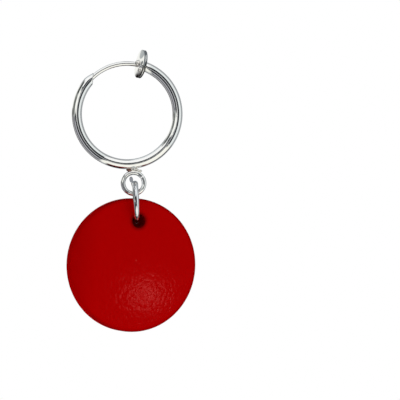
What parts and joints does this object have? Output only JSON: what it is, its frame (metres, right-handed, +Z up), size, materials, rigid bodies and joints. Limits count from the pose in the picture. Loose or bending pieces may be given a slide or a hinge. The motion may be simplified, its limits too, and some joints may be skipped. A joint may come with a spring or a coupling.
{
  "type": "clip-on earring",
  "caption": "Clip-on drop earring: a sprung wire slides in a hollow hoop and grips the lobe between round pads, and a red disc hangs below on a jump ring.",
  "frame": {"origin": "middle of the grip between the pads, where the ear lobe holds the earring", "axes": "+Z up as worn, -Y out of the hoop's front face, +X to the right as seen from the front; the hoop lies in the XZ plane"},
  "size_m": [0.0191, 0.009, 0.0422],
  "materials": {
    "polished_metal": "bright silver plate, polished",
    "ring_metal": "bright plated wire, drawn and tumbled",
    "red_lacquer": "dark red lacquer over turned wood, semi-gloss"
  },
  "bodies": {
    "hoop": {"hoop_tube": "polished_metal"},
    "wire": {"slide_wire": "polished_metal"},
    "ring": {"jump_ring": "ring_metal"},
    "drop": {"disc": "red_lacquer"}
  },
  "joints": [
    {"name": "wire_slide", "type": "hinge", "parent": "hoop", "child": "wire", "pos_m": [-0.00195, 0, -0.00729], "axis": [0, -1, 0], "range_deg": [0, 42], "stiffness_Nm_per_rad": 0.004, "springref_deg": -57.3},
    {"name": "ring_swing", "type": "hinge", "parent": "hoop", "child": "ring", "pos_m": [-0.00095, 0, -0.01925], "axis": [0.9945, 0, 0.1045], "range_deg": [-65, 65]},
    {"name": "disc_swing", "type": "hinge", "parent": "ring", "child": "drop", "pos_m": [-0.00054, 0, -0.0232], "axis": [0.3665, -0.9304, 0], "range_deg": [-12, 38]}
  ]
}
